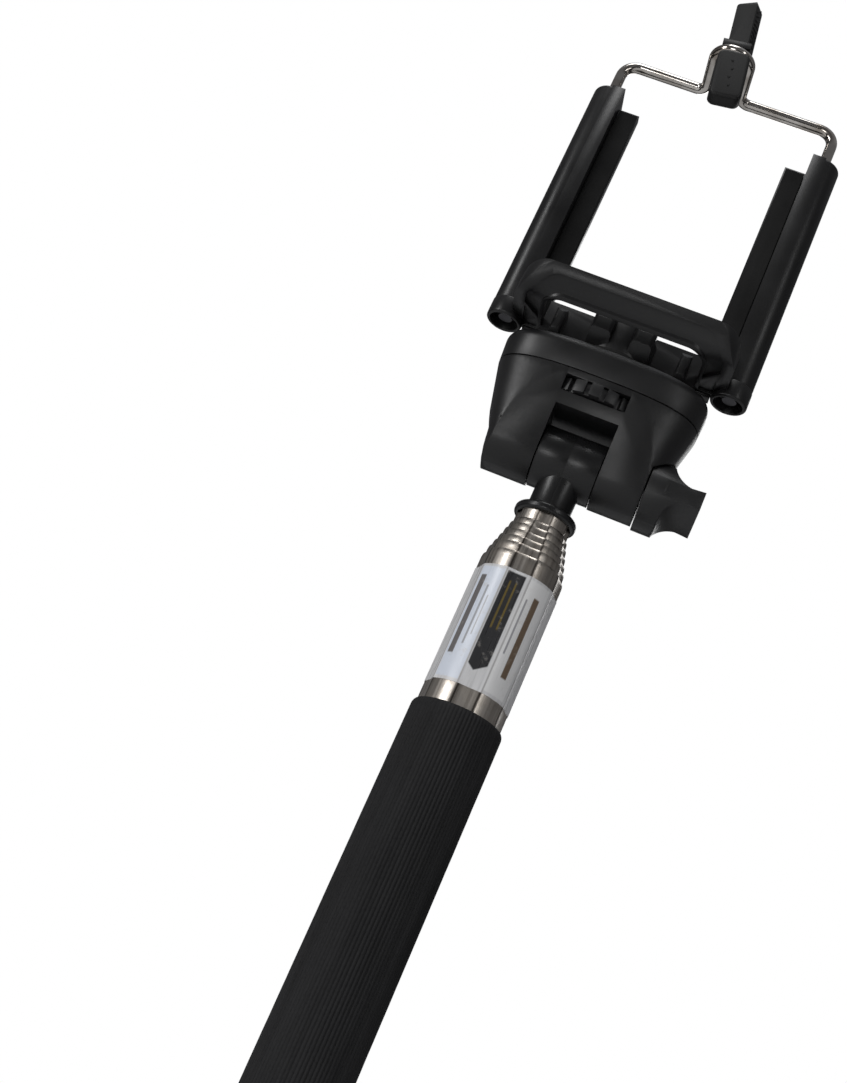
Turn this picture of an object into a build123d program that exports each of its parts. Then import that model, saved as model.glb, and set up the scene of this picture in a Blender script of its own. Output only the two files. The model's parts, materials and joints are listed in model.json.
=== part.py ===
from build123d import *
import os
import math

os.makedirs("parts", exist_ok=True)

# ------------------------------------------------------------------
# Telescopic hand-held camera pole with a tilting head and a sprung
# phone clamp.  Millimetres, +Z up along the pole, origin at the centre
# of the butt face, +X along the tilt bolt towards the wing knob, and
# -Y towards the screen side of the phone.
# ------------------------------------------------------------------

# pole sections
TUBE_R = [8.00, 7.55, 7.10, 6.65, 6.20, 5.75, 5.30]      # outer radii, section 1 to 7
TUBE_TOP = [184.9, 186.8, 188.3, 189.8, 191.4, 192.9, 196.0]
TUBE_WALL = 0.25
BUSH_LEN = 4.0
BUSH_BOTTOM = [0, 13.0, 18.0, 23.0, 28.0, 33.0, 38.0]    # lower end of each glide bush
FLUTE_N = 5
FLUTE_HALF = 15.5            # half width of a flute, degrees
FLUTE_DEPTH = 0.42
FLUTE_A0 = -87.0             # direction of the front flute's middle

# handle
GRIP_R = 8.70
GRIP_Z0, GRIP_Z1 = 6.0, 154.0
CAP_R = 8.6
CAP_H = 7.0
LANYARD_R = 1.6
LABEL_Z0, LABEL_Z1 = 157.8, 181.3
LABEL_T = 0.10

# neck and hinge
HINGE_Z = 207.85
BARREL_R = 6.4
KNUCKLE_R = 6.15
KNUCKLE_HALF = 6.05
SLOT_HALF = 6.3
SLOT_TOP = 215.45
NECK_R = 4.2
COLLAR_R = 6.1
COLLAR_Z0, COLLAR_Z1 = 195.0, 196.8
BOLT_R = 2.0

# head
SEAM_Z = 222.4
LID_TOP = 229.45
HEAD_A, HEAD_B = 20.45, 10.05      # half width and half depth at the seam
WHEEL_R = 10.5
WINDOW_Z0, WINDOW_Z1 = 218.1, 221.2
WHEEL_Z0, WHEEL_Z1 = 218.3, 220.9
SCREW_R = 3.10
SCREW_Z0, SCREW_Z1 = 216.6, 236.4

# wing knob
KNOB_R = 7.0
KNOB_X0, KNOB_X1 = 15.3, 19.0
WING_X1 = 25.9

# clamp
BASE_Z0 = 230.4
ARM_X, ARM_Y, ARM_R = 23.55, 0.9, 3.6
ARM_Z0, ARM_Z1 = 236.8, 293.6
ENDCAP_Z0 = 232.8
ARM_IN = 20.75               # inner face of the arm's column
BORE_R = 2.25
RAIL_X0 = 16.3

# bow
WIRE_R = 1.15
RUN_Z = 302.9
LOOP_X = -1.7
LOOP_HALF = 3.8
LOOP_Y = -13.2
LEG_Z0 = 247.0
BOW_TRAVEL = 25.0
HOOK_LEAN = 8.0              # the hook sits askew on the wire by this angle

ALIGN_MIN = (Align.CENTER, Align.CENTER, Align.MIN)


def zcyl(r, z0, z1, x=0.0, y=0.0):
    return Pos(x, y, z0) * Cylinder(r, z1 - z0, align=ALIGN_MIN)


def xcyl(r, x0, x1, y=0.0, z=0.0):
    return Location((x0, y, z), (0, 90, 0)) * Cylinder(r, x1 - x0, align=ALIGN_MIN)


def ycyl(r, y0, y1, x=0.0, z=0.0):
    return Location((x, y0, z), (-90, 0, 0)) * Cylinder(r, y1 - y0, align=ALIGN_MIN)


def block(x0, x1, y0, y1, z0, z1):
    return Pos((x0 + x1) / 2, (y0 + y1) / 2, (z0 + z1) / 2) * Box(x1 - x0, y1 - y0, z1 - z0)


def polar(r, a):
    return (r * math.cos(math.radians(a)), r * math.sin(math.radians(a)))


def fluted(r, depth, z0, z1):
    """Column whose section is a circle with shallow lengthwise flutes."""
    edges = []
    pitch = 360.0 / FLUTE_N
    for i in range(FLUTE_N):
        c = FLUTE_A0 + i * pitch
        a, b, d = c - FLUTE_HALF, c + FLUTE_HALF, c + pitch - FLUTE_HALF
        edges.append(ThreePointArc(polar(r, a), polar(r - depth, c), polar(r, b)))
        edges.append(ThreePointArc(polar(r, b), polar(r, (b + d) / 2), polar(r, d)))
    face = Face(Wire(edges))
    return Pos(0, 0, z0) * extrude(face, amount=z1 - z0, dir=(0, 0, 1))


def fillet_try(solid, edges, radii):
    """Round the edges with the largest of the radii that the solid accepts."""
    for r in radii:
        try:
            out = fillet(edges, r)
            if out.is_valid and out.volume > 0.5 * solid.volume:
                return out
        except Exception:
            pass
    return solid


def bent_path(points, radii):
    """Straight runs joined by tangent arcs."""
    pts = [Vector(*p) for p in points]
    edges = []
    start = pts[0]
    for i in range(1, len(pts) - 1):
        u = (pts[i - 1] - pts[i]).normalized()
        v = (pts[i + 1] - pts[i]).normalized()
        inner = math.radians(u.get_angle(v))
        t = radii[i - 1] / math.tan(inner / 2)
        a, b = pts[i] + u * t, pts[i] + v * t
        bis = (u + v).normalized()
        centre = pts[i] + bis * (radii[i - 1] / math.sin(inner / 2))
        mid = centre - bis * radii[i - 1]
        if (a - start).length > 1e-4:
            edges.append(Line(start, a))
        edges.append(ThreePointArc(a, mid, b))
        start = b
    edges.append(Line(start, pts[-1]))
    return Wire(edges)


def super_oval(a, b, n, z, count=44):
    pts = []
    for i in range(count):
        t = 2 * math.pi * i / count
        c, s = math.cos(t), math.sin(t)
        pts.append((a * math.copysign(abs(c) ** (2 / n), c), b * math.copysign(abs(s) ** (2 / n), s), z))
    return Face(Wire([Spline(*pts, periodic=True)]))


def save(shape, name):
    export_step(shape, "parts/%s.step" % name)


# ------------------------------------------------------------------
# handle: outer tube, foam sleeve, butt cap with its lanyard hole
# ------------------------------------------------------------------
tube_in = [r - TUBE_WALL for r in TUBE_R]

tube_1 = fluted(TUBE_R[0], FLUTE_DEPTH, 7.0, TUBE_TOP[0]) - fluted(tube_in[0], FLUTE_DEPTH, 6.0, TUBE_TOP[0] + 1)
save(tube_1, "tube_1")

foam_grip = zcyl(GRIP_R, GRIP_Z0 + 1.0, GRIP_Z1) - zcyl(TUBE_R[0], 0, 200)
foam_grip = fillet_try(foam_grip, foam_grip.edges().filter_by(GeomType.CIRCLE).group_by(Axis.Z)[-1].sort_by(SortBy.LENGTH)[-1:], [0.5, 0.3])
save(foam_grip, "foam_grip")

butt_cap = zcyl(CAP_R, 0, CAP_H)
butt_cap = fillet_try(butt_cap, butt_cap.edges().filter_by(GeomType.CIRCLE).group_by(Axis.Z)[0], [1.4, 1.0])
butt_cap = butt_cap - xcyl(LANYARD_R, -12, 12, 0, 3.4).moved(Location((0, 5.6, 0)))
butt_cap = butt_cap - zcyl(1.0, 2.0, 8)
save(butt_cap, "butt_cap")

butt_plug = fluted(tube_in[0], FLUTE_DEPTH, CAP_H, 11.0) - zcyl(1.1, 6, 12) - zcyl(3.4, 9.6, 12)
save(butt_plug, "butt_plug")

butt_screw = zcyl(2.2, 9.6, 11.0) + zcyl(1.0, 2.2, 9.6)
butt_screw = butt_screw - block(-1.5, 1.5, -0.25, 0.25, 10.3, 12.0) - block(-0.25, 0.25, -1.5, 1.5, 10.3, 12.0)
save(butt_screw, "butt_screw")

label_wrap = fluted(TUBE_R[0] + LABEL_T, FLUTE_DEPTH, LABEL_Z0, LABEL_Z1) - fluted(TUBE_R[0], FLUTE_DEPTH, LABEL_Z0 - 1, LABEL_Z1 + 1)
save(label_wrap, "label_wrap")

# ------------------------------------------------------------------
# inner sections 2 to 7, each with a glide bush on its lower end
# ------------------------------------------------------------------
PIN_Z = 190.0
for k in range(1, 7):
    z0 = BUSH_BOTTOM[k] + BUSH_LEN
    tube = fluted(TUBE_R[k], FLUTE_DEPTH, z0, TUBE_TOP[k]) - fluted(tube_in[k], FLUTE_DEPTH, z0 - 1, TUBE_TOP[k] + 1)
    if k == 6:
        tube = tube - ycyl(0.8, -8, 8, 0, PIN_Z)
    save(tube, "tube_%d" % (k + 1))
    bush = fluted(tube_in[k - 1] - 0.06, FLUTE_DEPTH, BUSH_BOTTOM[k], z0)
    bush = bush - zcyl(TUBE_R[k] - TUBE_WALL - FLUTE_DEPTH - 0.5, 0, 60)
    save(bush, "glide_bush_%d" % (k + 1))

# ------------------------------------------------------------------
# neck: two mirror halves that carry the hinge knuckle, a collar ring
# and a cross pin into the smallest section
# ------------------------------------------------------------------
neck = zcyl(NECK_R, COLLAR_Z0 + 0.5, HINGE_Z) + zcyl(4.25, 186.0, COLLAR_Z0 + 1.0)
neck = neck + xcyl(KNUCKLE_R, -KNUCKLE_HALF, KNUCKLE_HALF, 0, HINGE_Z)
neck = neck - xcyl(BOLT_R + 0.08, -10, 10, 0, HINGE_Z)
neck = neck - xcyl(4.6, -10, -5.45, 0, HINGE_Z) - xcyl(4.6, 5.45, 10, 0, HINGE_Z)
neck = neck - ycyl(0.8, -8, 8, 0, PIN_Z)
save(neck & block(-12, 0, -12, 12, 180, 220), "neck_left")
save(neck & block(0, 12, -12, 12, 180, 220), "neck_right")

neck_collar = zcyl(COLLAR_R, COLLAR_Z0, COLLAR_Z1)
neck_collar = fillet_try(neck_collar, neck_collar.edges().filter_by(GeomType.CIRCLE), [0.7, 0.5])
neck_collar = neck_collar - zcyl(TUBE_R[6], 190, 196.0) - zcyl(NECK_R + 0.06, 190, 200)
save(neck_collar, "neck_collar")

neck_pin = ycyl(0.8, -TUBE_R[6] + 0.1 + FLUTE_DEPTH, TUBE_R[6] - 0.15, 0, PIN_Z)
save(neck_pin, "neck_pin")

# ------------------------------------------------------------------
# head: lower housing and lid
# ------------------------------------------------------------------
HW = HEAD_B
tx, tz = -6.23, -1.48                         # where the front face meets the barrel
side = Wire([
    Line((0, -HW, SEAM_Z), (0, tx, HINGE_Z + tz)),
    ThreePointArc((0, tx, HINGE_Z + tz), (0, 0, HINGE_Z - BARREL_R), (0, -tx, HINGE_Z + tz)),
    Line((0, -tx, HINGE_Z + tz), (0, HW, SEAM_Z)),
    Line((0, HW, SEAM_Z), (0, -HW, SEAM_Z)),
])
side_solid = Pos(-25, 0, 0) * extrude(Face(side), amount=50, dir=(1, 0, 0))
plan_solid = loft([super_oval(HEAD_A, HEAD_B, 2.9, SEAM_Z), super_oval(15.3, 7.6, 4.6, HINGE_Z - BARREL_R - 1.0)], ruled=True)
housing_outer = side_solid & plan_solid
if isinstance(housing_outer, (list, ShapeList)):
    housing_outer = housing_outer[0]
front = Polyline((-21.5, 0, SEAM_Z + 0.0), (-18.7, 0, 213.0), (-16.1, 0, HINGE_Z - BARREL_R), (16.1, 0, HINGE_Z - BARREL_R), (18.7, 0, 213.0), (21.5, 0, SEAM_Z), close=True)
front = make_face(front)
front = fillet(front.vertices().group_by(Axis.Z)[0], 3.0)
housing_outer = housing_outer & (Pos(0, -25, 0) * extrude(front, amount=50, dir=(0, 1, 0)))
bottom_edges = [e for e in housing_outer.edges() if e.center().Z < SEAM_Z - 1 and e.length > 4]
housing_outer = fillet_try(housing_outer, bottom_edges, [1.2, 0.9, 0.6])
housing = housing_outer
housing = housing - block(-SLOT_HALF, SLOT_HALF, -15, 15, 195, SLOT_TOP)
housing = housing - xcyl(BOLT_R + 0.05, -25, 25, 0, HINGE_Z)
housing = housing - xcyl(KNOB_R + 0.5, KNOB_X0 - 0.3, 30, 0, HINGE_Z)
housing = housing - xcyl(4.6, -30, -12.4, 0, HINGE_Z)
housing = housing - zcyl(WHEEL_R + 0.3, WHEEL_Z0 - 0.3, SEAM_Z + 1)
housing = housing - block(-6.4, 6.4, -14, 14, WINDOW_Z0, SEAM_Z + 1)
housing = housing - zcyl(SCREW_R + 0.15, SCREW_Z0 - 0.4, SEAM_Z + 1)
housing = housing - block(8.3, 12.0, -5.0, 5.0, 213.2, SEAM_Z + 1) - block(-12.0, -8.3, -5.0, 5.0, 213.2, SEAM_Z + 1)
for sx in (-1, 1):
    housing = housing - zcyl(0.8, 215.0, SEAM_Z + 1, sx * 16.2, 0)
save(housing, "head_housing")

lid = loft([super_oval(HEAD_A, HEAD_B, 2.9, SEAM_Z), super_oval(HEAD_A + 0.55, HEAD_B + 0.5, 2.9, LID_TOP)], ruled=True)
lid = fillet_try(lid, lid.edges().group_by(Axis.Z)[-1], [2.3, 2.0, 1.6, 1.2])
tongues = housing_outer & (block(-6.4, 6.4, -14, -8.0, WINDOW_Z1, SEAM_Z) + block(-6.4, 6.4, 8.0, 14, WINDOW_Z1, SEAM_Z))
gap = block(-25, 25, -15, 15, SEAM_Z - 0.5, SEAM_Z + 0.28) - (Pos(0, 0, -1) * extrude(super_oval(HEAD_A - 0.35, HEAD_B - 0.35, 2.9, SEAM_Z), amount=3, dir=(0, 0, 1)))
lid = lid - gap
lid = lid + tongues
lid = lid - zcyl(SCREW_R + 0.15, 210, 240)
for sx in (-1, 1):
    lid = lid - zcyl(1.15, 215.0, 240, sx * 16.2, 0) - zcyl(2.0, LID_TOP - 1.5, 240, sx * 16.2, 0)
save(lid, "head_lid")

screws = []
for sx in (-1, 1):
    s = zcyl(1.9, LID_TOP - 1.5, LID_TOP - 0.3, sx * 16.2, 0) + zcyl(0.8, 215.2, LID_TOP - 1.5, sx * 16.2, 0)
    s = s - block(sx * 16.2 - 1.2, sx * 16.2 + 1.2, -0.22, 0.22, LID_TOP - 0.9, LID_TOP) - block(sx * 16.2 - 0.22, sx * 16.2 + 0.22, -1.2, 1.2, LID_TOP - 0.9, LID_TOP)
    screws.append(s)
save(Compound(children=screws), "lid_screws")

head_pad = zcyl(8.4, LID_TOP, BASE_Z0 - 0.1) - zcyl(SCREW_R + 0.3, 220, 240)
save(head_pad, "head_pad")

# tilt bolt with its hexagon head in the left pocket, and two washers
bolt = xcyl(BOLT_R, -12.5, 20.4, 0, HINGE_Z)
bolt_head = Location((-15.2, 0, HINGE_Z), (0, 90, 0)) * extrude(RegularPolygon(4.05, 6), amount=2.8)
save(bolt + bolt_head, "tilt_bolt")
washers = [xcyl(4.4, x0, x0 + 0.77, 0, HINGE_Z) - xcyl(BOLT_R, -20, 20, 0, HINGE_Z) for x0 in (-SLOT_HALF, SLOT_HALF - 0.77)]
save(Compound(children=washers), "friction_washers")

# thumb wheel with a coarse rim, fixed on the camera screw
wheel = zcyl(WHEEL_R, WHEEL_Z0, WHEEL_Z1)
for i in range(20):
    wheel = wheel - (Rot(0, 0, i * 18 + 9) * block(WHEEL_R - 0.9, WHEEL_R + 2, -0.5, 0.5, WHEEL_Z0 - 1, WHEEL_Z1 + 1))
wheel = wheel - zcyl(SCREW_R, 210, 240)
save(wheel, "thumb_wheel")
camera_screw = zcyl(SCREW_R, SCREW_Z0, SCREW_Z1)
camera_screw = chamfer(camera_screw.edges().filter_by(GeomType.CIRCLE).group_by(Axis.Z)[-1], 0.6)
save(camera_screw, "camera_screw")

# wing knob and its threaded insert
knob = xcyl(KNOB_R, KNOB_X0, KNOB_X1 + 0.5, 0, HINGE_Z)
knob = fillet_try(knob, knob.edges().filter_by(GeomType.CIRCLE).group_by(Axis.X)[-1], [1.0, 0.8])
WING_T = 1.65
up = [Line((KNOB_X1 - 2.0, 0, 6.6), (KNOB_X1 + 0.2, 0, 6.4)), ThreePointArc((KNOB_X1 + 0.2, 0, 6.4), (KNOB_X1 + 1.35, 0, 3.2), (KNOB_X1 + 4.2, 0, WING_T)),
      Line((KNOB_X1 + 4.2, 0, WING_T), (WING_X1, 0, WING_T + 0.25)), Line((WING_X1, 0, WING_T + 0.25), (WING_X1, 0, -WING_T - 0.25)),
      Line((WING_X1, 0, -WING_T - 0.25), (KNOB_X1 + 4.2, 0, -WING_T)), ThreePointArc((KNOB_X1 + 4.2, 0, -WING_T), (KNOB_X1 + 1.35, 0, -3.2), (KNOB_X1 + 0.2, 0, -6.4)),
      Line((KNOB_X1 + 0.2, 0, -6.4), (KNOB_X1 - 2.0, 0, -6.6)), Line((KNOB_X1 - 2.0, 0, -6.6), (KNOB_X1 - 2.0, 0, 6.6))]
wing = Pos(0, -6.8, HINGE_Z) * extrude(Face(Wire(up)), amount=13.6, dir=(0, 1, 0))
wing = wing & xcyl(KNOB_R, KNOB_X0, WING_X1 + 1, 0, HINGE_Z)
wing = fillet_try(wing, wing.edges().filter_by(Axis.Z).group_by(Axis.X)[-1], [2.2, 1.5, 1.0])
knob = knob + wing
knob = knob - xcyl(3.0, KNOB_X0 - 1, KNOB_X0 + 4.2, 0, HINGE_Z) - xcyl(BOLT_R + 0.1, 10, 20.9, 0, HINGE_Z)
save(knob, "wing_knob")
knob_insert = xcyl(3.0, KNOB_X0 + 0.1, KNOB_X0 + 4.2, 0, HINGE_Z) - xcyl(BOLT_R + 0.06, 10, 30, 0, HINGE_Z)
save(knob_insert, "knob_insert")

# ------------------------------------------------------------------
# clamp base: boss, cross beam, gusset ribs
# ------------------------------------------------------------------
boss = zcyl(6.8, BASE_Z0, 238.0)
beam = block(-16.25, 16.25, -0.8, 3.2, 232.0, 240.2) + block(-4.8, 4.8, -0.8, 3.2, 238.0, 241.6)
base = boss + beam


def rib(x0, x1, y_front, z_top, slope):
    pts = [(x0, 0, 231.0), (x0, y_front + slope, 231.2), (x0, y_front, 231.2 + slope), (x0, y_front, z_top - 1.2),
           (x0, y_front + 1.2, z_top), (x0, 0, z_top)]
    w = Wire([Line(pts[i], pts[(i + 1) % 6]) for i in range(6)])
    r = extrude(Face(w), amount=x1 - x0, dir=(1, 0, 0))
    return fillet_try(r, r.edges().filter_by(Axis.Z).group_by(Axis.Y)[0], [0.9, 0.5])


base = base + rib(-6.3, -2.0, -8.2, 237.6, 2.6) + rib(2.0, 6.3, -8.2, 237.6, 2.6)
base = base + rib(-14.0, -11.8, -5.0, 237.6, 1.2) + rib(11.8, 14.0, -5.0, 237.6, 1.2)
base = base - zcyl(4.6, BASE_Z0 - 1, 236.9) - zcyl(SCREW_R + 0.2, 230, 238.0)
for sx in (-1, 1):
    base = base - ycyl(1.1, 0.3, 5, sx * 9.2, 236.2)
save(base, "clamp_base")

insert = (Pos(0, 0, BASE_Z0 + 0.1) * extrude(RegularPolygon(4.58, 6), amount=6.3)) - zcyl(SCREW_R + 0.07, 229, 240)
save(insert, "threaded_insert")

# ------------------------------------------------------------------
# phone rest: J shaped sheet bent up into a front lip, with a window
# ------------------------------------------------------------------
T = 1.9
YB, ZB = -10.4, 234.0                          # start of the bend on the lower face
ANG = math.radians(62)
RO = 3.6
LIP = 4.3


def j_profile(y_back, t0, t1):
    """Band between depths t0 and t1 above the lower face, in the YZ plane."""
    cy, cz = YB, ZB + RO                       # bend centre, lower face radius RO

    def at(d):
        r = RO - d
        p1 = (0, cy, cz - r)
        m = (0, cy - r * math.sin(ANG / 2), cz - r * math.cos(ANG / 2))
        p2 = (0, cy - r * math.sin(ANG), cz - r * math.cos(ANG))
        p3 = (0, p2[1] - LIP * math.cos(ANG), p2[2] + LIP * math.sin(ANG))
        return p1, m, p2, p3
    a, b = at(t0), at(t1)
    w = Wire([Line((0, y_back, a[0][2]), a[0]), ThreePointArc(a[0], a[1], a[2]), Line(a[2], a[3]),
              Line(a[3], b[3]), Line(b[3], b[2]), ThreePointArc(b[2], b[1], b[0]), Line(b[0], (0, y_back, b[0][2])),
              Line((0, y_back, b[0][2]), (0, y_back, a[0][2]))])
    return Face(w)


TRAY_A = 22.3
Y_LIP = YB - RO * math.sin(ANG) - LIP * math.cos(ANG) - 0.2
sheet = Pos(-TRAY_A, 0, 0) * extrude(j_profile(2.4, 0, T), amount=2 * TRAY_A, dir=(1, 0, 0))
walls = Pos(-TRAY_A, 0, 0) * extrude(j_profile(2.4, 0, T + 1.2), amount=2 * TRAY_A, dir=(1, 0, 0))
walls = walls - block(-TRAY_A + 2.2, TRAY_A - 2.2, -30, 10, 220, 260)
tray = sheet + walls


def hoop(a, y_front, r, y_back):
    """Plan outline of the tray: straight sides, round front corners."""
    k = r * (1 - math.sqrt(0.5))
    return Wire([
        Line((-a, y_back, 230), (-a, y_front + r, 230)),
        ThreePointArc((-a, y_front + r, 230), (-a + k, y_front + k, 230), (-a + r, y_front, 230)),
        Line((-a + r, y_front, 230), (a - r, y_front, 230)),
        ThreePointArc((a - r, y_front, 230), (a - k, y_front + k, 230), (a, y_front + r, 230)),
        Line((a, y_front + r, 230), (a, y_back, 230)),
        Line((a, y_back, 230), (-a, y_back, 230)),
    ])


tray = tray & extrude(Face(hoop(TRAY_A, Y_LIP, 7.4, 3.0)), amount=20, dir=(0, 0, 1))
lip_c = (0, YB - RO * math.sin(ANG), ZB + RO - RO * math.cos(ANG))
LIP_R = 5.2
lip_dir = Vector(0, -math.cos(ANG), math.sin(ANG))
lip_nrm = Vector(0, -math.sin(ANG), -math.cos(ANG))
for sx in (-1, 1):
    tip = Vector(*lip_c) + lip_dir * LIP
    pl = Plane(origin=tip + Vector(sx * TRAY_A, 0, 0), x_dir=Vector(-sx, 0, 0), z_dir=lip_nrm)
    v = 1 if (pl.y_dir.dot(lip_dir) < 0) else -1
    q = LIP_R
    tri = Wire([Line((-0.5, -0.5 * v), (q, -0.5 * v)), Line((q, -0.5 * v), (q, 0)), ThreePointArc((q, 0), (q * (1 - math.sqrt(0.5)), v * q * (1 - math.sqrt(0.5))), (0, v * q)),
                Line((0, v * q), (-0.5, v * q)), Line((-0.5, v * q), (-0.5, -0.5 * v))])
    cutter = pl * extrude(Face(tri), amount=4, both=True, dir=(0, 0, 1))
    tray = tray - cutter
WIN_Y = -11.7
window = Pos(0, (WIN_Y + 6) / 2, 225) * extrude(RectangleRounded(32.4, 6 - WIN_Y, 3.6), amount=20)
tray = tray - window
# the web is recessed below a raised rim and a bead around the window
recess = extrude(Face(hoop(TRAY_A - 2.3, Y_LIP + 1.15, 5.6, 1.0)), amount=20, dir=(0, 0, 1))
recess = recess - (Pos(0, (WIN_Y + 6) / 2, 225) * extrude(RectangleRounded(34.0, 7.6 - WIN_Y, 4.4), amount=30))
for sx in (-1, 1):
    strut = Location((sx * 18.4, -4.6, 240), (0, 0, sx * 38)) * Box(0.6, 7.0, 30)
    recess = recess - strut
tray = tray - (recess & (Pos(-TRAY_A, 0, 0) * extrude(j_profile(2.4, 0, 0.55), amount=2 * TRAY_A, dir=(1, 0, 0))))
tray = tray - (Location((0, Y_LIP, ZB + 7.0), (0, 45, 0)) * Box(0.9, 6, 0.9))
for sx in (-1, 1):
    tray = tray - zcyl(ARM_R + 0.1, 220, 300, sx * ARM_X, ARM_Y)
    tray = tray - block(*sorted((sx * 15.0, sx * 19.8)), 1.7, 6, 225, 260)
    tray = tray - block(*sorted((sx * 19.6, sx * 30.0)), ARM_Y - ARM_R, 6, ARM_Z0, 260)
save(tray, "tray_frame")

# ------------------------------------------------------------------
# clamp arms: bored columns, flat in front and rounded outside, each
# with a rail on the inside that the phone's back leans on
# ------------------------------------------------------------------


def arm_outer(sx):
    x = sx * ARM_X
    col = zcyl(ARM_R, ARM_Z0, ARM_Z1, x, ARM_Y)
    col = fillet_try(col, col.edges().filter_by(GeomType.CIRCLE).group_by(Axis.Z)[-1], [0.9, 0.6])
    col = col & block(*sorted((sx * ARM_IN, sx * 30)), -10, 10, ARM_Z0 - 1, ARM_Z1 + 1)
    return col + block(*sorted((sx * ARM_IN, sx * ARM_X)), ARM_Y - ARM_R, ARM_Y + ARM_R, ARM_Z0, ARM_Z1)


def rail_block(sx):
    rail = block(*sorted((sx * RAIL_X0, sx * 19.8)), 1.7, 3.9, ARM_Z0 - 3.4, 291.6)
    return rail + block(*sorted((sx * 19.7, sx * ARM_X)), 1.7, 3.9, ARM_Z0, 291.6)


for side_name, sx in (("left", -1), ("right", 1)):
    x = sx * ARM_X
    arm = arm_outer(sx) + rail_block(sx)
    arm = arm - zcyl(BORE_R, ARM_Z0 - 5, ARM_Z1 - 3.4, x, ARM_Y) - zcyl(WIRE_R + 0.6, ARM_Z0, ARM_Z1 + 1, x, ARM_Y)
    save(arm, "arm_%s" % side_name)

    pad = block(*sorted((sx * (RAIL_X0 + 0.3), sx * (ARM_IN - 0.25))), 1.0, 1.7, ARM_Z0 + 1.2, 290.8)
    save(pad, "grip_pad_%s" % side_name)

    cap = zcyl(ARM_R + 0.1, ENDCAP_Z0, ARM_Z0, x, ARM_Y)
    cap = fillet_try(cap, cap.edges().filter_by(GeomType.CIRCLE).group_by(Axis.Z)[0], [0.5, 0.3])
    cap = cap + zcyl(BORE_R, ARM_Z0 - 0.5, ARM_Z0 + 2.5, x, ARM_Y)
    cap = cap - zcyl(2.9, ENDCAP_Z0 - 1, ENDCAP_Z0 + 2.6, x, ARM_Y) - zcyl(1.0, ENDCAP_Z0, ARM_Z0 + 4, x, ARM_Y)
    save(cap, "end_cap_%s" % side_name)

    boss_pin = zcyl(1.45, ENDCAP_Z0 + 1.0, ENDCAP_Z0 + 2.6, x, ARM_Y) + zcyl(1.0, ENDCAP_Z0 + 2.6, ARM_Z0 + 2.5, x, ARM_Y)
    save(boss_pin, "cap_rivet_%s" % side_name)

    guide = zcyl(WIRE_R + 0.6, ARM_Z1 - 3.4, ARM_Z1 + 0.4, x, ARM_Y) + zcyl(BORE_R, ARM_Z1 - 5.4, ARM_Z1 - 3.4, x, ARM_Y)
    guide = guide - zcyl(WIRE_R + 0.07, ARM_Z1 - 8, ARM_Z1 + 3, x, ARM_Y)
    save(guide, "guide_bush_%s" % side_name)

# two screws hold the cross beam to the rails' bridge plate behind it
bridge = block(-16.25, 16.25, 3.2, 4.8, 233.0, 239.8) - zcyl(6.9, 229, 238.2)
for sx in (-1, 1):
    bridge = bridge - ycyl(1.1, 2, 6, sx * 9.2, 236.2)
bridge = fillet_try(bridge, bridge.edges().filter_by(Axis.Y), [1.2, 0.8])
save(bridge, "back_plate")
bs = []
for sx in (-1, 1):
    s = ycyl(1.0, 0.5, 4.8, sx * 9.2, 236.2) + ycyl(1.9, 4.8, 5.9, sx * 9.2, 236.2)
    s = s - block(sx * 9.2 - 1.2, sx * 9.2 + 1.2, 5.3, 6.5, 236.0, 236.4) - block(sx * 9.2 - 0.2, sx * 9.2 + 0.2, 5.3, 6.5, 235.0, 237.4)
    bs.append(s)
save(Compound(children=bs), "back_screws")

# ------------------------------------------------------------------
# sprung bow: bent wire, stops on its two legs, rubber hook
# ------------------------------------------------------------------
yl = ARM_Y
wire_pts = [(-ARM_X, yl, LEG_Z0), (-ARM_X, yl, RUN_Z), (LOOP_X - LOOP_HALF, yl, RUN_Z), (LOOP_X - LOOP_HALF, LOOP_Y, RUN_Z),
            (LOOP_X + LOOP_HALF, LOOP_Y, RUN_Z), (LOOP_X + LOOP_HALF, yl, RUN_Z), (ARM_X, yl, RUN_Z), (ARM_X, yl, LEG_Z0)]
path = bent_path(wire_pts, [3.4, 2.1, 3.7, 3.7, 2.1, 3.4])
section = Plane(origin=(-ARM_X, yl, LEG_Z0), z_dir=(0, 0, 1)) * Circle(WIRE_R)
wire_bow = sweep(section, path=path)
save(wire_bow, "wire_bow")

stops = []
for sx in (-1, 1):
    stops.append(zcyl(BORE_R - 0.1, LEG_Z0 - 1.6, LEG_Z0, sx * ARM_X, yl))
save(Compound(children=stops), "leg_stops")

hook = block(LOOP_X - 3.3, LOOP_X + 3.3, -15.0, -11.7, 289.6, 301.6)
hook = fillet_try(hook, hook.edges().filter_by(Axis.Y), [1.5, 1.0])
hook = fillet_try(hook, hook.edges().group_by(Axis.Y)[0], [0.7, 0.4])
neck_piece = block(LOOP_X - 2.3, LOOP_X + 2.3, -12.6, -8.4, 299.6, 306.6)
neck_piece = neck_piece + block(LOOP_X - 2.9, LOOP_X + 2.9, -13.2, -8.0, 304.2, 306.8)
neck_piece = fillet_try(neck_piece, neck_piece.edges().filter_by(Axis.X).group_by(Axis.Z)[-1], [1.9, 1.2])
tab = Location((LOOP_X + 0.9, -10.3, 304.6), (6, 0, -26)) * (Pos(0, 0, 6.2) * Box(4.4, 3.6, 12.6))
tab = fillet_try(tab, tab.edges().sort_by(Axis.Z)[-4:], [1.4, 1.0, 0.6])
hook = Pos(LOOP_X, 0, RUN_Z) * Rot(0, -HOOK_LEAN, 0) * Pos(-LOOP_X, 0, -RUN_Z) * (hook + neck_piece + tab)
hook = hook - wire_bow
save(hook, "rubber_hook")

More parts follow.
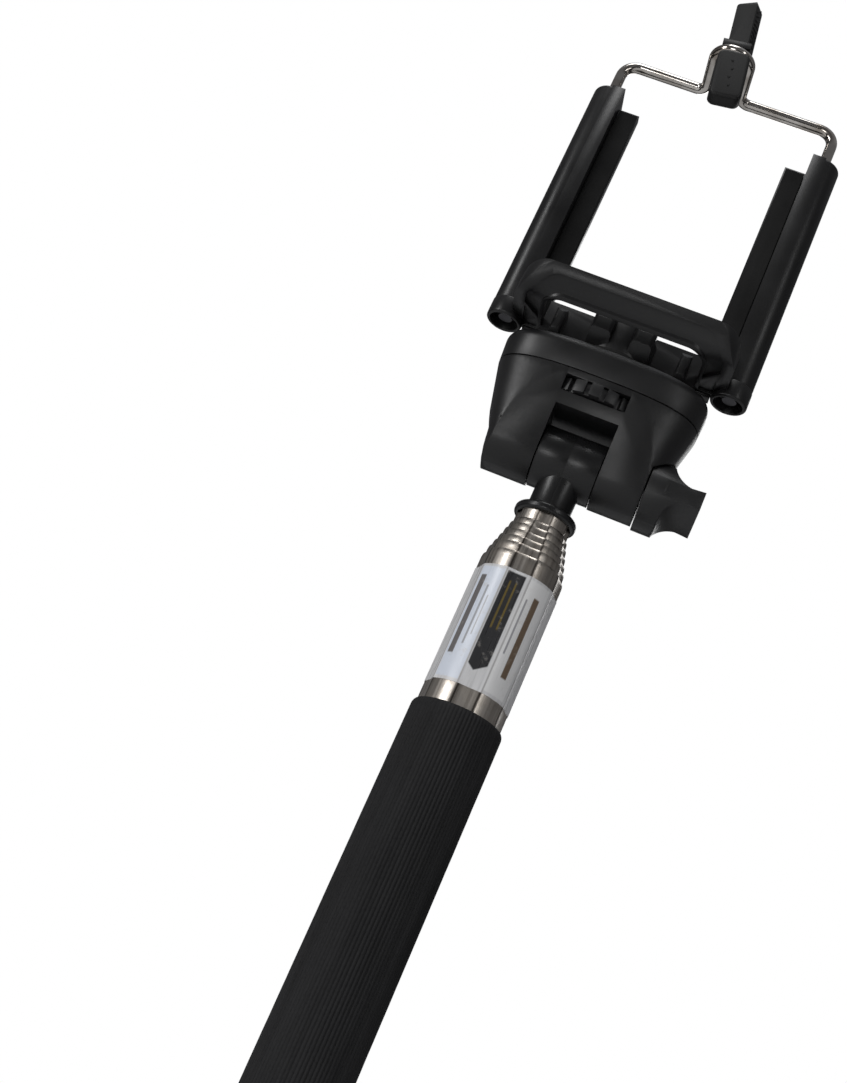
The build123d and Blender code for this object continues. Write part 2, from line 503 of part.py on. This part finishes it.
# compression springs in the arms, between the leg stops and the guides
SPRING_R = 1.68
SPRING_W = 0.27
for side_name, sx in (("left", -1), ("right", 1)):
    z0, z1 = LEG_Z0 + 0.3, ARM_Z1 - 5.4 - 0.3
    turns = 14
    helix = Helix(pitch=(z1 - z0 - 2 * SPRING_W) / turns, height=z1 - z0 - 2 * SPRING_W, radius=SPRING_R)
    prof = Plane(origin=helix @ 0, z_dir=helix % 0) * Circle(SPRING_W)
    spring = sweep(prof, path=helix, is_frenet=True)
    save(Pos(sx * ARM_X, ARM_Y, z0 + SPRING_W) * spring, "spring_%s" % side_name)
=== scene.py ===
import bpy
import bmesh
import json
import math
from mathutils import Matrix, Vector


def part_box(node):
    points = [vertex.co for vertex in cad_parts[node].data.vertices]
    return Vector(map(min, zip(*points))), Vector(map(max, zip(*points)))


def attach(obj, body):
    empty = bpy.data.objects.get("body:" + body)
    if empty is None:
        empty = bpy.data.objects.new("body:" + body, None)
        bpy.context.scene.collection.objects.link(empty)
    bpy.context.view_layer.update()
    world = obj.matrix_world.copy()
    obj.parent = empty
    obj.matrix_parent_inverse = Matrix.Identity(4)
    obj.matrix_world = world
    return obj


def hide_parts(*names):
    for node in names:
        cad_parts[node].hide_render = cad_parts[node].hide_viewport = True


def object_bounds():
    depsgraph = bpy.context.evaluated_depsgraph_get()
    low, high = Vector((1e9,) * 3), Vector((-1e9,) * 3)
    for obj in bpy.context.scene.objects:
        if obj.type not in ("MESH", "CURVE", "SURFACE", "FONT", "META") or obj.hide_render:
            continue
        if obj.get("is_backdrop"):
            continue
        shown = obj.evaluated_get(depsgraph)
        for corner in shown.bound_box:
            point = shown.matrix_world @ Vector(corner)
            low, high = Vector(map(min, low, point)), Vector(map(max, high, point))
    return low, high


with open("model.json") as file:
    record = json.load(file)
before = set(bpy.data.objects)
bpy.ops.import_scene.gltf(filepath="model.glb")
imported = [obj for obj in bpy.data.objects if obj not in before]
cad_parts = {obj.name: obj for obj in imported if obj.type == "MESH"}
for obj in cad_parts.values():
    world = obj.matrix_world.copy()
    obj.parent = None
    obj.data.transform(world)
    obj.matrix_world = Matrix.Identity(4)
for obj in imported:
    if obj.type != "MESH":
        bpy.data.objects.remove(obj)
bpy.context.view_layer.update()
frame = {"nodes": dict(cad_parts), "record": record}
scene = bpy.context.scene
MM = 0.001

# ------------------------------------------------------------------ camera
ROWS = ((0.916918, -0.001604, 0.399072), (0.369378, 0.381948, -0.847158), (-0.151066, 0.924183, 0.350807))
cam_data = bpy.data.cameras.new("camera")
cam = bpy.data.objects.new("camera", cam_data)
scene.collection.objects.link(cam)
right, down, fwd = Vector(ROWS[0]), Vector(ROWS[1]), Vector(ROWS[2])
rot = Matrix((right, -down, -fwd)).transposed()
cam.matrix_world = Matrix.Translation(Vector((22.008, -251.357, 87.26)) * MM) @ rot.to_4x4()
cam_data.sensor_width = 36.0
cam_data.lens = 48.545
cam_data.clip_start = 0.01
cam_data.clip_end = 60
scene.camera = cam

# ------------------------------------------------------------------ light, floor, backdrop
scene.view_settings.view_transform = "Standard"
scene.view_settings.look = "None"
world = bpy.data.worlds.new("studio")
scene.world = world
world.use_nodes = True
wn, wl = world.node_tree.nodes, world.node_tree.links
wn.clear()
w_out = wn.new("ShaderNodeOutputWorld")
w_mix = wn.new("ShaderNodeMixShader")
w_amb = wn.new("ShaderNodeBackground")
w_tc = wn.new("ShaderNodeTexCoord")
w_sep = wn.new("ShaderNodeSeparateXYZ")
w_ramp = wn.new("ShaderNodeValToRGB")
w_map = wn.new("ShaderNodeMapRange")
w_map.inputs[1].default_value, w_map.inputs[2].default_value = -1.0, 1.0
wl.new(w_tc.outputs["Generated"], w_sep.inputs[0])
wl.new(w_sep.outputs["Z"], w_map.inputs[0])
wl.new(w_map.outputs[0], w_ramp.inputs[0])
ramp = w_ramp.color_ramp
ramp.elements[0].position, ramp.elements[0].color = 0.0, (0.30, 0.29, 0.28, 1)
ramp.elements[1].position, ramp.elements[1].color = 1.0, (0.62, 0.64, 0.68, 1)
for pos, v in ((0.30, 0.16), (0.42, 0.05), (0.50, 0.10), (0.60, 0.42), (0.72, 0.14), (0.86, 0.30)):
    e = ramp.elements.new(pos)
    e.color = (v, v, v * 1.03, 1)
wl.new(w_ramp.outputs[0], w_amb.inputs[0])
w_amb.inputs[1].default_value = 0.48
w_cam = wn.new("ShaderNodeBackground")
w_cam.inputs[0].default_value = (1, 1, 1, 1)
w_cam.inputs[1].default_value = 1.0
w_lp = wn.new("ShaderNodeLightPath")
wl.new(w_lp.outputs["Is Camera Ray"], w_mix.inputs[0])
wl.new(w_amb.outputs[0], w_mix.inputs[1])
wl.new(w_cam.outputs[0], w_mix.inputs[2])
wl.new(w_mix.outputs[0], w_out.inputs[0])


def area(name, loc, target, size, power, size_y=None):
    d = bpy.data.lights.new(name, "AREA")
    d.energy = power
    d.size = size
    if size_y:
        d.shape = "RECTANGLE"
        d.size_y = size_y
    o = bpy.data.objects.new(name, d)
    scene.collection.objects.link(o)
    o.location = loc
    o.rotation_mode = "QUATERNION"
    o.rotation_quaternion = (Vector(target) - Vector(loc)).to_track_quat("-Z", "Y")
    return o


area("key", (-0.80, -0.62, 0.42), (0, 0, 0.22), 0.22, 3.4, 0.55)
area("side", (0.60, -0.85, 0.50), (0, 0, 0.2), 0.16, 1.0, 0.6)
area("rim", (0.15, 0.85, 0.60), (0, 0, 0.24), 0.4, 1.2)
area("low", (-0.25, -0.95, 0.10), (0, 0, 0.2), 0.30, 1.0, 0.20)
area("top", (-0.15, -0.25, 1.0), (0, 0, 0.22), 0.30, 1.6)


def simple(name, color, rough):
    m = bpy.data.materials.new(name)
    m.use_nodes = True
    b = m.node_tree.nodes["Principled BSDF"]
    b.inputs["Base Color"].default_value = (*color, 1)
    b.inputs["Roughness"].default_value = rough
    return m


bm = bmesh.new()
bmesh.ops.create_circle(bm, cap_ends=True, segments=96, radius=0.62)
floor_me = bpy.data.meshes.new("floor")
bm.to_mesh(floor_me)
bm.free()
floor = bpy.data.objects.new("floor", floor_me)
scene.collection.objects.link(floor)
floor.location = (0, 0, -0.0002)
fm = simple("floor_pale", (0.86, 0.86, 0.86), 0.9)
floor_me.materials.append(fm)
floor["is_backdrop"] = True


# ------------------------------------------------------------------ material kit
class Mat:
    def __init__(self, name, color, rough, metallic=0.0, spec=0.5):
        self.m = bpy.data.materials.new(name)
        self.m.use_nodes = True
        self.t = self.m.node_tree
        self.b = self.t.nodes["Principled BSDF"]
        self.b.inputs["Base Color"].default_value = (*color, 1)
        self.b.inputs["Roughness"].default_value = rough
        self.b.inputs["Metallic"].default_value = metallic
        self.b.inputs["Specular IOR Level"].default_value = spec
        self.co = self.t.nodes.new("ShaderNodeTexCoord").outputs["Object"]
        self.normal = None

    def n(self, kind, **kw):
        node = self.t.nodes.new(kind)
        for k, v in kw.items():
            setattr(node, k, v)
        return node

    def link(self, a, b):
        self.t.links.new(a, b)

    def scaled(self, sx, sy, sz):
        mp = self.n("ShaderNodeMapping")
        mp.inputs["Scale"].default_value = (sx, sy, sz)
        self.link(self.co, mp.inputs["Vector"])
        return mp.outputs[0]

    def noise(self, scale, detail=3.0, rough=0.5, vec=None, dist=0.0):
        n = self.n("ShaderNodeTexNoise")
        n.inputs["Scale"].default_value = scale
        n.inputs["Detail"].default_value = detail
        n.inputs["Roughness"].default_value = rough
        n.inputs["Distortion"].default_value = dist
        self.link(vec or self.co, n.inputs["Vector"])
        return n.outputs["Fac"]

    def voronoi(self, scale, vec=None, feature="F1"):
        n = self.n("ShaderNodeTexVoronoi")
        n.feature = feature
        n.inputs["Scale"].default_value = scale
        self.link(vec or self.co, n.inputs["Vector"])
        return n.outputs["Distance"]

    def math(self, op, a, b=None, c=None):
        n = self.n("ShaderNodeMath", operation=op)
        for i, v in enumerate((a, b, c)):
            if v is None:
                continue
            if isinstance(v, (int, float)):
                n.inputs[i].default_value = v
            else:
                self.link(v, n.inputs[i])
        return n.outputs[0]

    def remap(self, v, a, b, c, d):
        n = self.n("ShaderNodeMapRange")
        for i, k in enumerate((a, b, c, d)):
            n.inputs[i + 1].default_value = k
        self.link(v, n.inputs[0])
        return n.outputs[0]

    def mix(self, fac, a, b):
        n = self.n("ShaderNodeMix", data_type="RGBA")
        for i, v in ((6, a), (7, b)):
            if isinstance(v, tuple):
                n.inputs[i].default_value = (*v, 1)
            else:
                self.link(v, n.inputs[i])
        if isinstance(fac, (int, float)):
            n.inputs[0].default_value = fac
        else:
            self.link(fac, n.inputs[0])
        return n.outputs[2]

    def color(self, v):
        self.link(v, self.b.inputs["Base Color"])

    def rough(self, v):
        self.link(v, self.b.inputs["Roughness"])

    def bump(self, v, strength, dist_mm):
        n = self.n("ShaderNodeBump")
        n.inputs["Strength"].default_value = strength
        n.inputs["Distance"].default_value = dist_mm * MM
        self.link(v, n.inputs["Height"])
        if self.normal is not None:
            self.link(self.normal, n.inputs["Normal"])
        self.normal = n.outputs[0]
        self.link(self.normal, self.b.inputs["Normal"])


def black_plastic(name, base=0.013, rough=0.36, grain=0.5, spec=0.45):
    m = Mat(name, (base, base, base * 1.05), rough, 0.0, spec)
    cloud = m.noise(90, 4)
    fine = m.noise(2600, 2, 0.6)
    dust = m.voronoi(900)
    m.rough(m.math("ADD", m.remap(cloud, 0.3, 0.7, rough - 0.06, rough + 0.08), m.remap(fine, 0.3, 0.7, -0.02, 0.03)))
    m.color(m.mix(m.remap(dust, 0.0, 0.07, 0.22, 0.0), m.mix(cloud, (base * 0.8, base * 0.8, base * 0.84), (base * 1.25, base * 1.25, base * 1.3)), (base * 3.2, base * 3.2, base * 3.2)))
    m.bump(fine, grain, 0.012)
    m.bump(cloud, 0.25, 0.05)
    return m.m


def rubber(name, base=0.015, rough=0.62):
    m = Mat(name, (base, base, base), rough, 0.0, 0.35)
    cloud = m.noise(140, 4)
    fine = m.noise(3200, 3, 0.65)
    m.rough(m.remap(cloud, 0.3, 0.7, rough - 0.07, rough + 0.1))
    m.color(m.mix(cloud, (base * 0.75,) * 3, (base * 1.45,) * 3))
    m.bump(fine, 0.6, 0.02)
    return m.m


def foam(name):
    m = Mat(name, (0.022, 0.022, 0.0225), 0.86, 0.0, 0.25)
    long = m.noise(1.0, 4, 0.6, m.scaled(520, 520, 24))
    cells = m.voronoi(1500)
    cloud = m.noise(60, 3)
    tone = m.math("ADD", m.math("MULTIPLY", long, 0.7), m.math("MULTIPLY", cloud, 0.3))
    m.color(m.mix(m.remap(tone, 0.32, 0.68, 0, 1), (0.0105, 0.0105, 0.011), (0.025, 0.025, 0.026)))
    m.rough(m.remap(cells, 0.0, 0.5, 0.95, 0.78))
    m.bump(cells, 0.55, 0.05)
    m.bump(long, 0.35, 0.06)
    return m.m


def tube_steel(name):
    m = Mat(name, (0.6, 0.56, 0.5), 0.3, 1.0, 0.5)
    brush = m.noise(1.0, 4, 0.6, m.scaled(1500, 1500, 26))
    ring = m.noise(1.0, 3, 0.6, m.scaled(60, 60, 900))
    blotch = m.noise(170, 5, 0.62, dist=0.6)
    stain = m.remap(blotch, 0.48, 0.72, 0.0, 1.0)
    base = m.mix(m.remap(brush, 0.3, 0.7, 0, 1), (0.40, 0.36, 0.315), (0.62, 0.58, 0.53))
    c = m.mix(m.math("MULTIPLY", stain, 0.6), base, (0.22, 0.185, 0.15))
    sep = m.n("ShaderNodeSeparateXYZ")
    m.link(m.co, sep.inputs[0])
    turn = m.math("DIVIDE", m.math("ADD", m.math("MULTIPLY", m.math("ARCTAN2", sep.outputs[1], sep.outputs[0]), 180 / math.pi), 87.0 + 720.0), 72.0)
    off = m.math("ABSOLUTE", m.math("MULTIPLY", m.math("SUBTRACT", m.math("FRACT", m.math("ADD", turn, 0.5)), 0.5), 72.0))
    wob = m.math("MULTIPLY", m.math("SUBTRACT", m.noise(260, 4, 0.7), 0.5), 3.0)
    # painted shade: a near-black line painted along each flute border, where the crease between flute and land falls
    # into shade
    flute_edge_shade = m.remap(m.math("ABSOLUTE", m.math("SUBTRACT", m.math("ADD", off, wob), 15.0)), 0.5, 2.6, 0.85, 0.0)
    m.color(m.mix(flute_edge_shade, c, (0.045, 0.036, 0.03)))
    m.rough(m.math("ADD", m.remap(brush, 0.3, 0.7, 0.24, 0.38), m.math("MULTIPLY", stain, 0.14)))
    m.bump(brush, 0.3, 0.02)
    m.bump(ring, 0.15, 0.02)
    return m.m


def chrome(name):
    m = Mat(name, (0.72, 0.69, 0.65), 0.12, 1.0, 0.5)
    cloud = m.noise(220, 4)
    fine = m.noise(1600, 3)
    m.color(m.mix(m.remap(cloud, 0.4, 0.7, 0, 1), (0.70, 0.67, 0.63), (0.36, 0.32, 0.28)))
    m.rough(m.remap(cloud, 0.3, 0.7, 0.06, 0.17))
    m.bump(fine, 0.04, 0.004)
    m.bump(cloud, 0.08, 0.01)
    return m.m


def zinc(name, base=(0.5, 0.5, 0.51), rough=0.32):
    m = Mat(name, base, rough, 1.0)
    cloud = m.noise(300, 4)
    m.color(m.mix(cloud, tuple(c * 0.7 for c in base), tuple(min(1, c * 1.25) for c in base)))
    m.rough(m.remap(cloud, 0.3, 0.7, rough - 0.08, rough + 0.12))
    m.bump(m.noise(2200, 3), 0.2, 0.01)
    return m.m


def nylon(name):
    m = Mat(name, (0.78, 0.78, 0.73), 0.45, 0.0, 0.4)
    cloud = m.noise(200, 4)
    m.color(m.mix(cloud, (0.70, 0.70, 0.65), (0.84, 0.84, 0.80)))
    m.rough(m.remap(cloud, 0.3, 0.7, 0.38, 0.55))
    m.bump(m.noise(1800, 2), 0.3, 0.01)
    return m.m


def label(name):
    """Silver film with a bluish panel, a dark stripe in the front flute and plain bars. No lettering."""
    m = Mat(name, (0.8, 0.8, 0.82), 0.3, 0.0, 0.5)
    sep = m.n("ShaderNodeSeparateXYZ")
    m.link(m.co, sep.inputs[0])
    x, y, z = sep.outputs
    ang = m.math("MULTIPLY", m.math("ARCTAN2", y, x), 180 / math.pi)
    zm = m.math("MULTIPLY", z, 1000.0)

    def band(v, lo, hi, soft):
        a = m.remap(v, lo - soft, lo + soft, 0, 1)
        b = m.remap(v, hi - soft, hi + soft, 1, 0)
        return m.math("MULTIPLY", a, b)

    silver_n = m.noise(1.0, 4, 0.6, m.scaled(900, 900, 60))
    silver = m.mix(m.remap(silver_n, 0.3, 0.7, 0, 1), (0.60, 0.60, 0.605), (0.80, 0.80, 0.81))
    c = silver
    panel = m.math("MULTIPLY", band(ang, -141, -105, 0.8), band(zm, 158.4, 180.8, 0.15))
    c = m.mix(panel, c, (0.72, 0.77, 0.86))
    panel2 = m.math("MULTIPLY", band(ang, -70, -36, 0.8), band(zm, 158.4, 180.8, 0.15))
    c = m.mix(panel2, c, (0.84, 0.84, 0.84))
    # painted shade: dark lines painted along the flute borders, where the film over each crease falls into shade
    for edge in (-174.5, -143.5, -103.6, -71.0, -30.5, 0.5):
        c = m.mix(m.math("MULTIPLY", band(ang, edge - 0.9, edge + 0.9, 0.9), 0.55), c, (0.10, 0.085, 0.075))
    # dark stripe with a chamfered lower end
    low = m.math("ADD", 161.0, m.math("MULTIPLY", m.math("ABSOLUTE", m.math("ADD", ang, 92.0)), 0.10))
    stripe = m.math("MULTIPLY", band(ang, -101.5, -76.5, 0.5), m.math("MULTIPLY", m.remap(m.math("SUBTRACT", zm, low), -0.15, 0.15, 0, 1), m.remap(zm, 180.6, 180.9, 1, 0)))
    c = m.mix(stripe, c, (0.030, 0.030, 0.032))
    gold = m.math("MULTIPLY", m.math("ADD", band(ang, -95.0, -92.5, 0.5), band(ang, -86.5, -84.0, 0.5)), band(zm, 169.5, 179.0, 0.2))
    c = m.mix(m.math("MULTIPLY", gold, stripe), c, (0.16, 0.115, 0.03))
    for a0, a1, z0, z1, col in ((-137, -128, 163, 179, (0.16, 0.15, 0.15)), (-121, -118, 165, 177, (0.36, 0.37, 0.40)), (-114.5, -112.5, 167, 175, (0.42, 0.43, 0.46)),
                                (-66, -63.5, 166, 177, (0.34, 0.34, 0.36)), (-56, -47, 162, 178, (0.17, 0.12, 0.08)), (72, 96, 160, 179, (0.45, 0.46, 0.5)), (118, 132, 163, 176, (0.2, 0.2, 0.2)), (10, 22, 164, 177, (0.3, 0.3, 0.32))):
        c = m.mix(m.math("MULTIPLY", band(ang, a0, a1, 0.5), band(zm, z0, z1, 0.15)), c, col)
    scuff = m.remap(m.noise(500, 5, 0.7), 0.58, 0.72, 0.0, 0.35)
    c = m.mix(scuff, c, (0.55, 0.52, 0.48))
    m.color(c)
    m.rough(m.remap(silver_n, 0.3, 0.7, 0.22, 0.42))
    m.bump(m.noise(260, 3), 0.35, 0.05)
    return m.m


MATS = {
    "foam": foam("foam"),
    "butt_plastic": black_plastic("butt_plastic", 0.015, 0.42),
    "tube_steel": tube_steel("tube_steel"),
    "label_film": label("label_film"),
    "nylon": nylon("nylon"),
    "neck_plastic": black_plastic("neck_plastic", 0.008, 0.28),
    "head_plastic": black_plastic("head_plastic", 0.0085, 0.36),
    "wheel_plastic": black_plastic("wheel_plastic", 0.012, 0.42),
    "knob_plastic": black_plastic("knob_plastic", 0.009, 0.38),
    "clamp_plastic": black_plastic("clamp_plastic", 0.0075, 0.33),
    "arm_plastic": black_plastic("arm_plastic", 0.0078, 0.34),
    "pad_rubber": rubber("pad_rubber", 0.005, 0.8),
    "hook_rubber": rubber("hook_rubber", 0.010, 0.5),
    "zinc_steel": zinc("zinc_steel"),
    "black_steel": zinc("black_steel", (0.07, 0.07, 0.075), 0.35),
    "brass_insert": zinc("brass_insert", (0.72, 0.55, 0.28), 0.28),
    "wire_chrome": chrome("wire_chrome"),
    "spring_steel": zinc("spring_steel", (0.42, 0.42, 0.43), 0.3),
}

node_slot = {s["node"]: s["material_slot"] for s in frame["record"]["subparts"]}
node_body = {n: b for b, ns in frame["record"]["behaviour"]["bodies"].items() for n in ns}
for name, ob in frame["nodes"].items():
    ob.data.materials.clear()
    ob.data.materials.append(MATS[node_slot[name]])


def add_object(name, me, like):
    ob = bpy.data.objects.new(name, me)
    scene.collection.objects.link(ob)
    me.materials.clear()
    me.materials.append(MATS[node_slot[like]])
    return ob


def finish_piece(ob, *nodes):
    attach(ob, node_body[nodes[0]])
    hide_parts(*nodes)
    return ob


def smooth(me, angle=35):
    for p in me.polygons:
        p.use_smooth = True
    me.set_sharp_from_angle(angle=math.radians(angle))


def soften(node, width=0.25, segs=2, angle=30):
    """The CAD node with its hard edges broken, as a moulded or rolled edge is."""
    src = frame["nodes"][node]
    b = bmesh.new()
    b.from_mesh(src.data)
    bmesh.ops.remove_doubles(b, verts=b.verts, dist=1e-6)
    bmesh.ops.dissolve_limit(b, angle_limit=math.radians(0.6), verts=b.verts, edges=b.edges)
    es = [e for e in b.edges if len(e.link_faces) == 2 and e.calc_face_angle(0) > math.radians(angle)]
    bmesh.ops.bevel(b, geom=es, offset=width * MM, offset_type="OFFSET", segments=segs, profile=0.5, affect="EDGES", clamp_overlap=True)
    bmesh.ops.recalc_face_normals(b, faces=b.faces)
    me = bpy.data.meshes.new(node + "_soft")
    b.to_mesh(me)
    b.free()
    ob = add_object(node + "_soft", me, node)
    smooth(me, 40)
    return finish_piece(ob, node)


# ------------------------------------------------------------------ tubes with rolled ends
FL_N, FL_HALF, FL_DEPTH, FL_A0 = 5, 15.5, 0.42, -87.0


def circ3(p, q, r):
    ax, ay = p
    bx, by = q
    cx, cy = r
    d = 2 * (ax * (by - cy) + bx * (cy - ay) + cx * (ay - by))
    ux = ((ax * ax + ay * ay) * (by - cy) + (bx * bx + by * by) * (cy - ay) + (cx * cx + cy * cy) * (ay - by)) / d
    uy = ((ax * ax + ay * ay) * (cx - bx) + (bx * bx + by * by) * (ax - cx) + (cx * cx + cy * cy) * (bx - ax)) / d
    return ux, uy


def outline(r, flute_seg=7, land_seg=12):
    def pol(rr, a):
        return rr * math.cos(math.radians(a)), rr * math.sin(math.radians(a))
    pts = []
    for i in range(FL_N):
        c = FL_A0 + i * 360 / FL_N
        p, q, s = pol(r, c - FL_HALF), pol(r - FL_DEPTH, c), pol(r, c + FL_HALF)
        ux, uy = circ3(p, q, s)
        rad = math.hypot(p[0] - ux, p[1] - uy)
        for k in range(flute_seg):
            t = k / flute_seg
            x, y = p[0] + (s[0] - p[0]) * t, p[1] + (s[1] - p[1]) * t
            d = math.hypot(x - ux, y - uy)
            pts.append((ux + (x - ux) / d * rad, uy + (y - uy) / d * rad))
        for k in range(land_seg):
            a = c + FL_HALF + (360 / FL_N - 2 * FL_HALF) * k / land_seg
            pts.append(pol(r, a))
    return pts


def skin(name, rings, like, closed=True):
    verts, faces = [], []
    n = len(rings[0][1])
    for z, pts in rings:
        verts += [(x * MM, y * MM, z * MM) for x, y in pts]
    m = len(rings)
    for j in range(m if closed else m - 1):
        a, b2 = j * n, ((j + 1) % m) * n
        for i in range(n):
            faces.append((a + i, a + (i + 1) % n, b2 + (i + 1) % n, b2 + i))
    me = bpy.data.meshes.new(name)
    me.from_pydata(verts, [], faces)
    b = bmesh.new()
    b.from_mesh(me)
    bmesh.ops.recalc_face_normals(b, faces=b.faces)
    b.to_mesh(me)
    b.free()
    return add_object(name, me, like)


TUBE_R = [8.00, 7.55, 7.10, 6.65, 6.20, 5.75, 5.30]
for k in range(7):
    node = "tube_%d" % (k + 1)
    lo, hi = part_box(node)
    z0, z1 = lo.z / MM, hi.z / MM
    r, w = TUBE_R[k], 0.25
    roll = 0.0 if k == 6 else 0.19
    rings = [(z0, outline(r)), (z1 - 1.1, outline(r)), (z1 - 0.55, outline(r - roll * 0.28)), (z1 - 0.2, outline(r - roll * 0.7)), (z1, outline(r - roll * 1.3 if roll else r)),
             (z1 - 0.02, outline(r - w - 0.12 if roll else r - w)), (z1 - 0.45, outline(r - w - 0.1 if roll else r - w)), (z1 - 1.3, outline(r - w)), (z0, outline(r - w))]
    ob = skin("tube_skin_%d" % (k + 1), rings, node)
    smooth(ob.data, 24)
    finish_piece(ob, node)

# ------------------------------------------------------------------ foam sleeve with fine lengthwise ribs
RIBS = 76


def rib_ring(r, depth, phase=0.0):
    pts = []
    per = 8
    for i in range(RIBS * per):
        a = 2 * math.pi * i / (RIBS * per)
        s = 0.5 + 0.5 * math.cos(RIBS * a + phase)
        rr = r - depth * (1 - s ** 0.55)
        pts.append((rr * math.cos(a), rr * math.sin(a)))
    return pts


rings = []
for z, r, d in ((7.0, 8.25, 0.02), (7.25, 8.5, 0.06), (7.9, 8.68, 0.13)):
    rings.append((z, rib_ring(r, d)))
steps = 48
for i in range(steps + 1):
    z = 8.6 + (152.6 - 8.6) * i / steps
    rings.append((z, rib_ring(8.7 - 0.012 * (1 + math.sin(i * 2.1) * math.cos(i * 0.77)), 0.15)))
for z, r, d in ((153.2, 8.68, 0.13), (153.65, 8.55, 0.09), (153.92, 8.36, 0.04), (154.0, 8.18, 0.0), (153.96, 8.02, 0.0), (7.0, 8.02, 0.0)):
    rings.append((z, rib_ring(r, d)))
ob = skin("foam_ribbed", rings, "foam_grip")
smooth(ob.data, 60)
finish_piece(ob, "foam_grip")

# ------------------------------------------------------------------ moulded parts with broken edges
for node, width in (("head_housing", 0.3), ("head_lid", 0.25), ("tray_frame", 0.16), ("clamp_base", 0.3), ("arm_left", 0.35), ("arm_right", 0.35),
                    ("wing_knob", 0.3), ("rubber_hook", 0.3), ("neck_left", 0.12), ("neck_right", 0.12), ("thumb_wheel", 0.25),
                    ("end_cap_left", 0.2), ("end_cap_right", 0.2), ("back_plate", 0.3), ("butt_cap", 0.15)):
    soften(node, width, 2, 30)

# ------------------------------------------------------------------ small details on the rubber hook
LOOP_X, RUN_Z = -1.7, 302.9


def rx(a):
    return Matrix.Rotation(math.radians(a), 4, "X")


def ry(a):
    return Matrix.Rotation(math.radians(a), 4, "Y")


def rz(a):
    return Matrix.Rotation(math.radians(a), 4, "Z")


def tr(x, y, z):
    return Matrix.Translation((x, y, z))


LEAN = tr(LOOP_X, 0, RUN_Z) @ ry(-8) @ tr(-LOOP_X, 0, -RUN_Z)
TAB = LEAN @ tr(LOOP_X + 0.9, -10.3, 304.6) @ rx(6) @ rz(-26)


def solid_from(name, make, matrix, like, body, ang=40):
    """A small mesh made in millimetres, placed by a matrix in millimetres."""
    b = bmesh.new()
    make(b)
    b.transform(matrix)
    b.transform(Matrix.Scale(MM, 4))
    bmesh.ops.recalc_face_normals(b, faces=b.faces)
    me = bpy.data.meshes.new(name)
    b.to_mesh(me)
    b.free()
    ob = add_object(name, me, like)
    smooth(me, ang)
    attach(ob, body)
    return ob


def bar(sx, sy, sz, bev):
    def make(b):
        bmesh.ops.create_cube(b, size=1.0)
        bmesh.ops.scale(b, vec=(sx, sy, sz), verts=b.verts)
        bmesh.ops.bevel(b, geom=b.edges[:], offset=bev, segments=2, affect="EDGES", profile=0.5)
    return make


for i in range(8):
    ang = (-28, -18, -8, 4, 14, 24, 32, 38)[i]
    solid_from("hook_rib_%d" % (i + 1), bar(0.5, 2.4, 0.42, 0.14), TAB @ tr(2.12, 0.0, 2.6 + i * 1.15) @ rx(ang), "rubber_hook", "bow")


def dot(r, h):
    def make(b):
        bmesh.ops.create_cone(b, cap_ends=True, segments=20, radius1=r, radius2=r * 0.7, depth=h)
    return make


for i in range(4):
    solid_from("hook_dot_%d" % (i + 1), dot(0.32, 0.16), LEAN @ tr(LOOP_X + 0.25 * (-1) ** i * 0.5, -15.03, 292.6 + i * 2.1) @ rx(90), "rubber_hook", "bow")

for name, o2 in frame["nodes"].items():
    if not o2.hide_render:
        smooth(o2.data, 30)

lo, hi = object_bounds()
